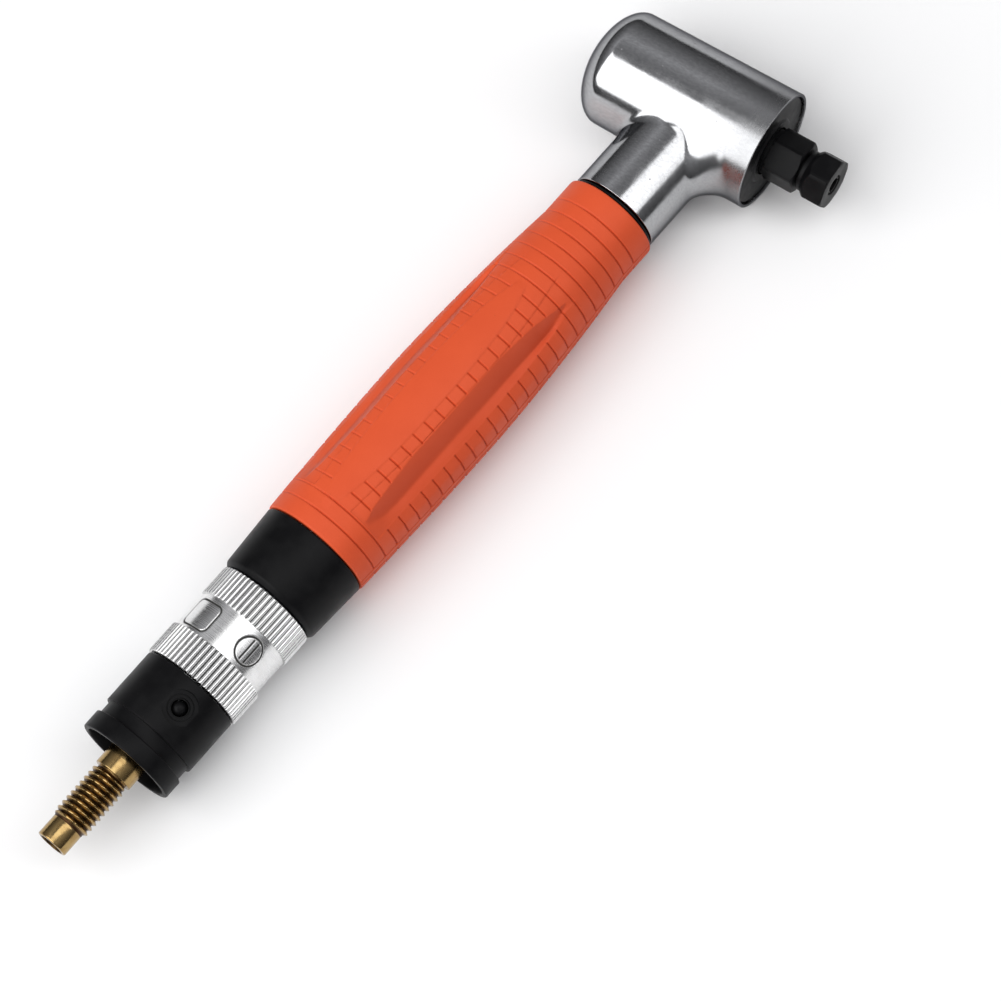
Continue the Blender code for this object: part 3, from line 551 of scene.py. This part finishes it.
def make_ring():
    outline = rounded([(RING_START, 8.2), (RING_START, 10.9, 0.4), (47.5, 10.9, 0.25), (47.5, WAIST_RADIUS),
                       (55.7, WAIST_RADIUS), (55.7, 10.65, 0.25), (RING_END, 10.65, 0.4), (RING_END, 8.2),
                       (56.0, 8.2), (56.0, 9.4), (49.5, 9.4), (49.5, 8.2)], 3)
    rows = dense(outline, 0.11, 47.5, 55.7)
    ring = skin("throttle_ring_skin", HANDLE, rows, FLUTES * 10, ring_shape)
    fit_out(ring, "throttle_ring", "throttle", "satin_aluminium")


def make_valve_spring():
    """A finer coil, built at rest; the real spring shortens towards its fixed end as the plunger opens."""
    start, end, radius, wire = 54.95, 60.1, 2.3, 0.22
    turns, steps, sides = 4.5, 144, 10
    share = np.linspace(0, 1, steps + 1)
    turn = 2 * math.pi * turns * share
    outward = np.stack([np.cos(turn), np.sin(turn), 0 * turn], -1)
    lengthwise = np.array([0.0, 0.0, 1.0])
    middle = radius * outward + (start + (end - start) * share)[:, None] * lengthwise
    about = 2 * math.pi * np.arange(sides) / sides
    points = middle[:, None] + wire * np.cos(about)[:, None] * outward[:, None]
    points = points + wire * np.sin(about)[:, None] * lengthwise
    faces = [(row * sides + side, row * sides + (side + 1) % sides,
              (row + 1) * sides + (side + 1) % sides, (row + 1) * sides + side)
             for row in range(steps) for side in range(sides)]
    faces += [tuple(range(sides)), tuple(steps * sides + side for side in range(sides))]
    mesh = bpy.data.meshes.new("valve_spring_skin")
    mesh.from_pydata((points.reshape(-1, 3) * MM).tolist(), [], faces)
    shell = bmesh.new()
    shell.from_mesh(mesh)
    bmesh.ops.recalc_face_normals(shell, faces=shell.faces)
    shell.to_mesh(mesh)
    shell.free()
    shade(mesh)
    spring = link("valve_spring_skin", mesh, HANDLE)
    fit_out(spring, "valve_spring", "casing", "steel")
    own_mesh(spring)


# ---------------------------------------------------------------- collar and grip

def make_collar():
    outline = rounded([(COLLAR_START, 8.3), (COLLAR_START, 10.2, 0.2), (63.6, 11.05, 0.3),
                       (COLLAR_END, 11.7, 0.3), (COLLAR_END, 9.85), (66.0, 9.85), (66.0, 8.3)])
    fit_out(skin("rear_collar_skin", HANDLE, outline, 144), "rear_collar", "casing", "black_oxide")


def grip_radius(station):
    """A full belly that thins a little to the rear and more to the neck."""
    rear = np.clip((GRIP_BELLY - station) / (GRIP_BELLY - GRIP_START), 0, 1)
    front = np.clip((station - GRIP_BELLY) / (158.5 - GRIP_BELLY), 0, 1)
    return GRIP_RADIUS - 0.9 * rear ** 1.7 - GRIP_WAIST_LOSS * front ** 1.75


def along_grip(station, *places):
    """A value that runs straight between (station, value) places."""
    stations, values = zip(*places)
    return np.interp(station, stations, values)


def grip_shape(station, azimuth, radius):
    """Ribs, finger panel, facets and parting lines, laid out alike on all four quarters.

    The panel stands proud on top only, because underneath the grip rests on it. The ribs are
    fainter towards +Y, and the rubber is painted darker towards -Y as shade, on the side the light
    reaches less.
    """
    signed = (azimuth + 180) % 360 - 180
    to_parting = np.abs(np.abs(signed) - 90)
    quarter = np.abs((azimuth - PANEL_CENTRE + 180) % 360 - 180)
    quarter = np.where(quarter > 90, 180 - quarter, quarter)
    lens = np.clip(1 - np.abs((station - 112.0) / 29.5) ** 2.6, 0, 1)
    panel = 18 * lens ** 0.5
    line = along_grip(station, (84.4, 22.6), (91, 24.9), (104, 29.4), (130, 30.2), (139, 27), (147.5, 21))
    near = along_grip(station, (85, 40), (88, 35.5), (92, 33.4), (100, 30.3), (127, 30.4),
                      (136.6, 35), (144.8, 45))
    far = along_grip(station, (85, 40), (89, 50), (93, 52.5), (112, 51), (130, 54), (138, 56),
                     (144.8, 45))
    band = along_grip(station, (84.5, 62), (107, 63), (130, 61), (139.6, 57), (143, 51))

    rib = notch(np.abs(station[..., None] - RIBS).min(-1), 0.28)
    inner = smooth(quarter, panel, panel + 1.2) * (1 - smooth(quarter, near - 0.6, near))
    outer = smooth(quarter, band, band + 0.8)
    whole = smooth(station, 140.6, 141.4) + 1 - smooth(station, 84.8, 85.4)
    clear = smooth(to_parting, PARTING_OFFSET, PARTING_OFFSET + 0.6)
    faint = 0.45 + 0.55 * smooth(signed, -25, 5)
    groove = rib * np.clip(np.maximum(inner, outer) + whole, 0, 1) * clear * faint

    on_top = (lens > 0) & (np.abs(signed) < 90)
    raised = (1 - smooth(quarter, panel - 1.0, panel + 1.0)) * on_top * PANEL_RISE
    beyond = smooth(quarter, line - 0.5, line + 0.5) * (1 - smooth(quarter, band - 1.5, band))
    lengthwise = smooth(station, 84.2, 84.8) * (1 - smooth(station, 146.8, 147.5))
    into = np.clip((quarter - near) / np.maximum(far - near, 0.5), 0, 1)
    land = np.clip((quarter - far) / (band - far + 0.5), 0, 1)
    rise = np.clip((quarter - band) / (74 - band), 0, 1)
    scoop = 1 - (1 - into) ** 1.6
    facet = FACET_FALL * np.maximum(far - near, 0) * (scoop - 0.6 * smooth(land, 0, 1) - 0.4 * rise)

    parting = notch(to_parting - PARTING_OFFSET, 1.1)
    scribed = notch(quarter - line, 0.5) * lengthwise
    shaped = radius + raised - 0.12 * beyond * lengthwise - facet - RIB_DEPTH * groove
    shaped -= PARTING_DEPTH * parting + SCRIBED_DEPTH * scribed
    # Painted shade on the facets, which turn away from the light.
    facet_shade = smooth(into, 0.0, 0.08) * (1 - smooth(land, 0.0, 0.3)) * (far > near + 1)
    # Painted shade on the -Y side, which the lights reach less.
    shaded_side = smooth(signed, 25, 50) * (1 - smooth(signed, 120, 150))
    # Painted shade in the rib grooves, parting lines and scribed line, plus the facets and -Y side.
    shade_and_grime = 0.6 * groove + parting + 0.45 * scribed + 0.5 * facet_shade + 0.35 * shaded_side
    outside = radius > 10.0
    return np.where(outside, shaped, radius), np.where(outside, np.clip(shade_and_grime, 0, 1), 0.0)


def make_grip():
    offsets = [-0.42, -0.3, -0.2, -0.1, 0.0, 0.1, 0.2, 0.3, 0.42]
    stations = {round(rib + offset, 3) for rib in RIBS.tolist() for offset in offsets}
    stations |= {round(GRIP_START + 0.6 + 1.0 * count, 3) for count in range(90)}
    stations |= {84.1, 84.4, 84.7, 143.9, 144.2, 144.5}
    stations = sorted(station for station in stations if GRIP_START + 0.5 < station < GRIP_END - 0.5)
    rear_radius = float(grip_radius(GRIP_START))
    rear = rounded([(GRIP_START, 9.9), (GRIP_START, rear_radius, 0.4), (GRIP_START + 1, 11.93)])
    front = rounded([(GRIP_END - 1, 10.35), (GRIP_END, 10.35, 0.45), (GRIP_END, 9.0)])
    middle = [(station, float(grip_radius(station))) for station in stations]
    outline = rear[:-1] + middle + front[1:] + [(GRIP_BORE_STEP, 9.0), (GRIP_BORE_STEP, 9.9)]
    fit_out(skin("grip_skin", HANDLE, outline, 432, grip_shape, 60), "grip", "casing", "orange_rubber")


# ---------------------------------------------------------------- head

def barrel_radius(station):
    share = (station - DOME_START) / (HEAD_RIM - DOME_START)
    return DOME_RADIUS + (HEAD_RIM_RADIUS - DOME_RADIUS) * np.clip(share, 0, 1.2)


def head_field(points):
    """Below 0 inside the cast head: a domed barrel and a neck with a rounded joint.

    Points are in the head's frame, in millimetres. The joint's fillet widens towards the rim.
    """
    station = points[:, 2]
    across = np.hypot(points[:, 0], points[:, 1])
    past_dome = np.minimum(station - DOME_START, 0) * DOME_RADIUS / DOME_DEPTH
    barrel = np.hypot(across, past_dome) - barrel_radius(station)
    along = points @ NECK_AXIS
    from_axis = np.maximum((points ** 2).sum(1) - along ** 2, 1e-9)
    neck = np.sqrt(from_axis + np.maximum(along + NECK_BALL, 0) ** 2) - NECK_RADIUS
    fillet = FILLET_AT_DOME + FILLET_GROWTH * smooth(station, 1.0, 9.5)
    near_barrel = np.maximum(fillet - barrel, 0)
    near_neck = np.maximum(fillet - neck, 0)
    return np.maximum(fillet, np.minimum(barrel, neck)) - np.hypot(near_barrel, near_neck)


def head_slope(points, step=0.01):
    """The field's gradient, by central differences."""
    slope = np.empty_like(points)
    for axis in range(3):
        shift = np.zeros(3)
        shift[axis] = step
        slope[:, axis] = (head_field(points + shift) - head_field(points - shift)) / (2 * step)
    return slope


def coordinates(mesh):
    flat = np.empty(len(mesh.vertices) * 3)
    mesh.vertices.foreach_get("co", flat)
    return flat.reshape(-1, 3) / MM


def make_head():
    """The casting: remeshed from rough solids, drawn on to the field, then bored and trimmed."""
    over = 1.5
    rough_barrel = [(DOME_START - DOME_DEPTH, 0), (DOME_START - 5, 8), (DOME_START, DOME_RADIUS),
                    (HEAD_RIM + over, HEAD_RIM_RADIUS), (HEAD_RIM + over, 0)]
    rough_neck = [(NECK_START - over, 0), (NECK_START - over, NECK_RADIUS),
                  (CROSSING, NECK_RADIUS), (CROSSING, 0)]
    barrel = skin("head_casting", HEAD, rough_barrel, 64)
    cut(barrel, skin("rough_neck", HANDLE, rough_neck, 64), 'UNION')
    remesh = barrel.modifiers.new("even_mesh", 'REMESH')
    remesh.mode = 'VOXEL'
    remesh.voxel_size = 0.55 * MM
    apply_modifiers(barrel)
    mesh = barrel.data
    points = coordinates(mesh)
    on_skin = skin_mask(points)
    for _ in range(6):
        slope = head_slope(points[on_skin])
        value = head_field(points[on_skin])
        points[on_skin] -= slope * (value / np.maximum((slope ** 2).sum(1), 0.05))[:, None]
    mesh.vertices.foreach_set("co", (points * MM).ravel())
    mesh.update()
    front = rounded([(-21.0, 0), (-21.0, 4.0), (-19.3, 4.0), (-19.3, 6.65), (-8.5, 6.65), (-8.5, 9.65),
                     (14.4, 9.65), (14.4, 12.1), (HEAD_RIM, 12.1, 0.08), (HEAD_RIM, 12.62)])
    front += [(HEAD_RIM - 0.04, 12.72), (HEAD_RIM - 0.13, 12.80), (HEAD_RIM - 0.3, 12.87),
              (HEAD_RIM - 0.3, 20), (HEAD_RIM + 4, 20), (HEAD_RIM + 4, 0)]
    cut(barrel, skin("front_cutter", HEAD, front, 144))
    rear = [(160, 0), (160, 20), (NECK_START + 0.35, 20), (NECK_START + 0.35, 9.76),
            (NECK_START + 0.18, 9.66), (NECK_START + 0.05, 9.52), (NECK_START, 9.35),
            (NECK_START, 7.85), (176.4, 7.85), (176.4, 6.05), (190, 6.05), (190, 0)]
    cut(barrel, skin("neck_cutter", HANDLE, rear, 144))
    smooth_head_normals(barrel.data)
    fit_out(barrel, "head_housing", "casing", "polished_head")


def skin_mask(points, past=0.4):
    """Points on the rough casting's curved outside, up to a little past the ends it is cut to."""
    along = points @ NECK_AXIS
    return (points[:, 2] < HEAD_RIM + past) & (along > NECK_START - CROSSING - past)


def smooth_head_normals(mesh):
    """Gives the polished skin its exact normals, so that reflections run smoothly over it."""
    shade(mesh, 30)
    points = coordinates(mesh)
    slope = head_slope(points)
    exact = slope / np.maximum(np.linalg.norm(slope, axis=1), 1e-6)[:, None]
    on_field = np.abs(head_field(points)) < 0.01
    corners = np.empty(len(mesh.loops) * 3)
    mesh.corner_normals.foreach_get("vector", corners)
    corners = corners.reshape(-1, 3)
    vertex = np.empty(len(mesh.loops), np.int32)
    mesh.loops.foreach_get("vertex_index", vertex)
    close = (corners * exact[vertex]).sum(1) > 0.9
    use = on_field[vertex] & close
    corners[use] = exact[vertex][use]
    mesh.normals_split_custom_set(corners.tolist())


def make_head_trim():
    """The thin black ring behind the neck and the recessed front cap."""
    rear, front = GRIP_END + 0.3, NECK_START - 0.3
    ring = rounded([(rear, 7.95), (rear, 9.55, 0.1), (front, 9.55, 0.1), (front, 7.95)])
    fit_out(skin("neck_ring_skin", HANDLE, ring, 128), "neck_ring", "casing", "black_oxide")
    cap = rounded([(14.75, 6.4), (14.75, 11.9), (15.9, 11.9, 0.3), (15.9, 7.1, 0.1),
                   (16.3, 6.7, 0.1), (16.3, 5.25, 0.15), (15.8, 5.25), (15.8, 6.4)])
    fit_out(skin("front_cap_skin", HEAD, cap, 144), "front_cap", "casing", "black_oxide")


# ---------------------------------------------------------------- spindle and nut

def hexagon(azimuth, corner_azimuth):
    """Distance from the axis to a hexagon's flat along each azimuth, with eased corners."""
    turn = (azimuth - corner_azimuth) % 60 - 30
    flat = HEX_ACROSS_FLATS / 2 / np.cos(np.radians(turn))
    corner = HEX_ACROSS_FLATS / 2 / math.cos(math.radians(30))
    return flat - 0.10 * smooth(flat, corner - 0.35, corner)


def soft_least(first, second, ease=0.10):
    """The lesser of two radii, with a rounded edge where they meet."""
    blend = np.clip(ease - np.abs(first - second), 0, None)
    return np.minimum(first, second) - blend ** 2 / (4 * ease)


def hex_shape(corner_azimuth, least_radius, start, end=math.inf):
    """A shape function that trims a piece to a hexagon past a radius, between two stations."""
    def shape(station, azimuth, radius):
        on_hex = (radius > least_radius) & (station > start) & (station < end)
        trimmed = soft_least(hexagon(azimuth, corner_azimuth), radius)
        return np.where(on_hex, trimmed, radius), np.zeros_like(radius)
    return shape


def make_spindle():
    shaft = rounded([(-20.3, 0), (-20.3, 2.2), (-20.0, 2.45), (-14.7, 2.45), (-14.7, 3.0), (8.0, 3.0),
                     (8.0, 4.0), (14.4, 4.0), (14.4, 4.9), (HEX_START, 4.9)])
    hex_rows = [(HEX_START, 5.0), (HEX_START + 0.12, 5.35), (HEX_START + 0.3, 5.7),
                (HEX_START + 0.6, 6.1), (HEX_START + 1.0, 6.3)]
    hex_rows += [(HEX_END - 1.0 + 0.08 * count, 6.3 - 0.12 * max(0, count - 2)) for count in range(12)]
    hex_rows += [(HEX_END, 5.0)]
    nose = [(HEX_END, 4.5), (HEX_END, 3.4), (28.6, 3.4), (NOSE_END, 3.15), (NOSE_END, 2.9),
            (20.0, 2.2), (20.0, 1.7), (12.0, 1.7), (12.0, 0)]
    shape = hex_shape(HEX_AZIMUTH, 4.95, HEX_START - 0.6, HEX_END + 0.6)
    spindle = skin("spindle_skin", HEAD, shaft + dense(hex_rows, 0.5) + nose, 360, shape, 40)
    fit_out(spindle, "spindle", "output_spindle", "black_oxide")


def make_nut():
    rear = rounded([(NUT_START, 3.65), (NUT_START, 4.3, 0.15), (25.2, 4.3, 0.1)])
    cone = [(25.2 + 1.9 * count / 16, 4.35 + 1.65 * count / 16) for count in range(17)]
    front = [(30.1 + 0.7 * count / 8, 6.1 - 0.9 * (count / 8) ** 1.4) for count in range(9)]
    mouth = rounded([(NUT_END, 4.6), (NUT_END, 2.2, 0.25), (30.3, 2.2), (29.3, 3.65)])
    rows = rear + cone + [(28.6, 6.1)] + front + mouth
    shape = hex_shape(NUT_AZIMUTH, 4.32, NUT_START + 0.5)
    nut = skin("collet_nut_skin", HEAD, rows, 360, shape, 40)
    fit_out(nut, "collet_nut", "clamping_nut", "black_oxide")


def make_collet():
    outline = rounded([(20.4, 1.5), (20.4, 2.0), (28.9, 2.7), (29.4, 2.7), (30.3, 1.95), (30.6, 1.95, 0.1),
                       (30.6, 1.5, 0.12)])
    collet = skin("collet_skin", HEAD, outline, 96)
    for slit in range(3):
        blade = bmesh.new()
        bmesh.ops.create_cube(blade, size=1.0)
        bmesh.ops.scale(blade, vec=Vector((3.2, 0.44, 9.5)) * MM, verts=blade.verts)
        bmesh.ops.translate(blade, vec=Vector((2.4, 0, 27.25)) * MM, verts=blade.verts)
        bmesh.ops.rotate(blade, verts=blade.verts, cent=(0, 0, 0),
                         matrix=Matrix.Rotation(math.radians(15 + 120 * slit), 3, 'Z'))
        mesh = bpy.data.meshes.new("blade")
        blade.to_mesh(mesh)
        blade.free()
        cut(collet, link("blade", mesh, HEAD))
    fit_out(collet, "collet", "collet_carrier", "black_oxide")


# ---------------------------------------------------------------- stage

def make_floor():
    bpy.ops.mesh.primitive_plane_add(size=8.0, location=(0, 0, -0.00002))
    floor = bpy.context.object
    floor.name = "floor"
    made = Finish("pale_floor", (0.92, 0.92, 0.92), 0.8, 0.0, Specular_IOR_Level=0.2)
    cloud = made.noise(120.0, 2)
    colour = made.tint(made.spread(cloud, 0.3, 0.7, 0.0, 0.15), (0.90, 0.90, 0.90))
    floor.data.materials.append(made.set(Base_Color=colour))


def softbox(name, direction, distance, width, height, radiance):
    """A rectangular light that looks at the middle of the tool, as bright as a radiance."""
    data = bpy.data.lights.new(name, 'AREA')
    data.shape = 'RECTANGLE'
    data.size = width
    data.size_y = height
    data.energy = radiance * width * height * math.pi
    lamp = bpy.data.objects.new(name, data)
    towards = Vector(direction).normalized()
    lamp.location = towards * distance
    lamp.rotation_euler = towards.to_track_quat('Z', 'Y').to_euler()
    bpy.context.scene.collection.objects.link(lamp)


def make_sky():
    """Dim surroundings: dark at the horizon, lighter half way up, dimmer overhead."""
    world = bpy.data.worlds.new("studio")
    world.use_nodes = True
    tree = world.node_tree
    place = tree.nodes.new('ShaderNodeTexCoord').outputs["Generated"]
    split = tree.nodes.new('ShaderNodeSeparateXYZ')
    tree.links.new(place, split.inputs[0])
    ramp = tree.nodes.new('ShaderNodeValToRGB')
    tree.links.new(split.outputs["Z"], ramp.inputs[0])
    stops = ramp.color_ramp.elements
    for height, grey in SKY:
        stop = stops.new(height)
        stop.color = (grey, grey, grey * 1.03, 1.0)
    stops.remove(stops[0])
    stops.remove(stops[-1])
    backdrop = tree.nodes["Background"]
    tree.links.new(ramp.outputs[0], backdrop.inputs["Color"])
    backdrop.inputs["Strength"].default_value = 1.0
    bpy.context.scene.world = world


def make_lights():
    softbox("right_softbox", (0.23, -0.365, 0.902), 2.2, 0.95, 3.2, 2.1)
    softbox("left_softbox", (-0.64, 0.22, 0.72), 2.2, 2.4, 2.5, 2.7)
    make_sky()
    bpy.context.scene.view_settings.view_transform = 'Standard'


def make_camera():
    """A long lens from above and behind the inlet, rolled so that the tool climbs to the right."""
    place = Vector((-0.20086, -0.27285, 0.84161))
    right = Vector((0.6437, -0.7615, -0.0760))
    up = Vector((0.7307, 0.5820, 0.3570))
    back = right.cross(up).normalized()
    up = back.cross(right).normalized()
    data = bpy.data.cameras.new("camera")
    data.sensor_width = 36.0
    data.lens = 164.8
    data.clip_start = 0.05
    camera = bpy.data.objects.new("camera", data)
    turn = Matrix((right.normalized(), up, back)).transposed().to_4x4()
    camera.matrix_world = Matrix.Translation(place) @ turn
    bpy.context.scene.collection.objects.link(camera)
    bpy.context.scene.camera = camera


make_camera()
make_lights()
make_floor()
finish_cad_nodes()
make_inlet()
make_sleeve()
make_ring()
make_valve_spring()
make_collar()
make_grip()
make_head()
make_head_trim()
make_spindle()
make_nut()
make_collet()
